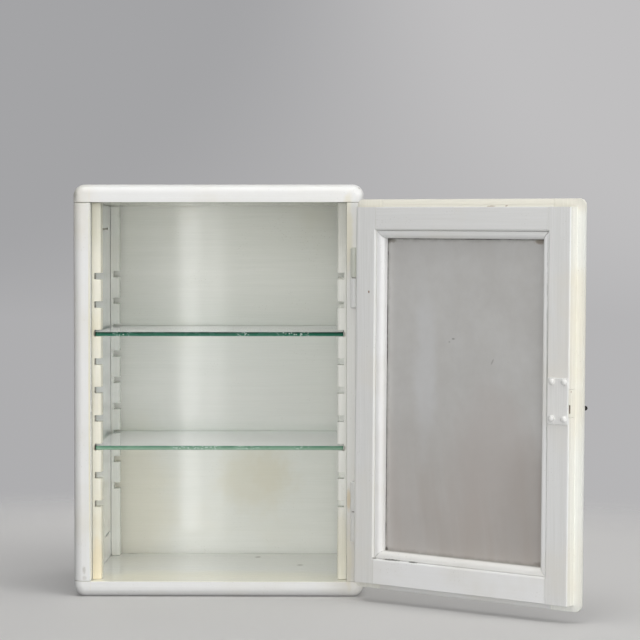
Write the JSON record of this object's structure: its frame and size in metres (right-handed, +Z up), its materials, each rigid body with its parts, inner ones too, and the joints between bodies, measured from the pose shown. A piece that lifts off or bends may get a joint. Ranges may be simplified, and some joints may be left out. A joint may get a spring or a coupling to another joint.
{
  "type": "glass door medical cabinet",
  "caption": "White-painted wooden medical cabinet with rounded edges, notched shelf ladders, loose glass shelves and a lipped door glazed with a hazy pane, standing open on its hinges.",
  "frame": {"origin": "Middle of the underside of the case.", "axes": "+Z up, +Y towards the back of the case, +X to the right seen from the front, on the side of the hinges."},
  "size_m": [0.6962, 0.5662, 0.576],
  "materials": {
    "enamel": "white enamel paint on wood, satin gloss, aged",
    "aged_cream": "yellowed enamel paint on wood",
    "shelf_glass": "clear float glass with green edges",
    "hazy_glass": "clouded pane with wipe streaks",
    "painted_steel": "steel painted over with the woodwork",
    "bare_steel": "plain steel",
    "black_knob": "black, smooth"
  },
  "bodies": {
    "cabinet": {"top_board": "enamel", "bottom_board": "enamel", "left_side": "enamel", "right_side": "enamel", "back_panel": "enamel", "front_left_ladder": "aged_cream", "front_right_ladder": "aged_cream", "rear_left_ladder": "aged_cream", "rear_right_ladder": "aged_cream", "upper_shelf": "shelf_glass", "lower_shelf": "shelf_glass", "strike_plate": "painted_steel", "upper_hinge_frame_half": "painted_steel", "upper_hinge_pin": "bare_steel", "lower_hinge_frame_half": "painted_steel", "lower_hinge_pin": "bare_steel"},
    "door": {"hinge_stile": "enamel", "lock_stile": "enamel", "top_rail": "enamel", "bottom_rail": "enamel", "bottom_bead": "enamel", "hinge_side_bead": "enamel", "top_bead": "enamel", "lock_side_bead": "enamel", "door_pane": "hazy_glass", "upper_hinge_door_half": "painted_steel", "lower_hinge_door_half": "painted_steel", "lock_case": "bare_steel", "lock_plate": "painted_steel", "lock_faceplate": "painted_steel"},
    "latch_bolt": {"latch_bolt": "bare_steel"},
    "knob": {"turn_knob": "black_knob", "knob_spindle": "bare_steel", "lock_cam": "bare_steel"}
  },
  "joints": [
    {"name": "door_swing", "type": "hinge", "parent": "cabinet", "child": "door", "pos_m": [0.1893, -0.1658, 0.285], "axis": [0, 0, 1], "range_deg": [-142.5, 30]},
    {"name": "knob_turn", "type": "hinge", "parent": "door", "child": "knob", "pos_m": [0.4698, -0.37561, 0.2789], "axis": [0.6088, 0.7934, 0], "range_deg": [0, 90]},
    {"name": "bolt_throw", "type": "slide", "parent": "door", "child": "latch_bolt", "axis": [0.7933, -0.6087, -0.0093], "range_m": [0, 0.00707]}
  ],
  "couplings": [
    {"joint": "bolt_throw", "follows": "knob_turn", "m_per_rad": 0.0045016}
  ]
}
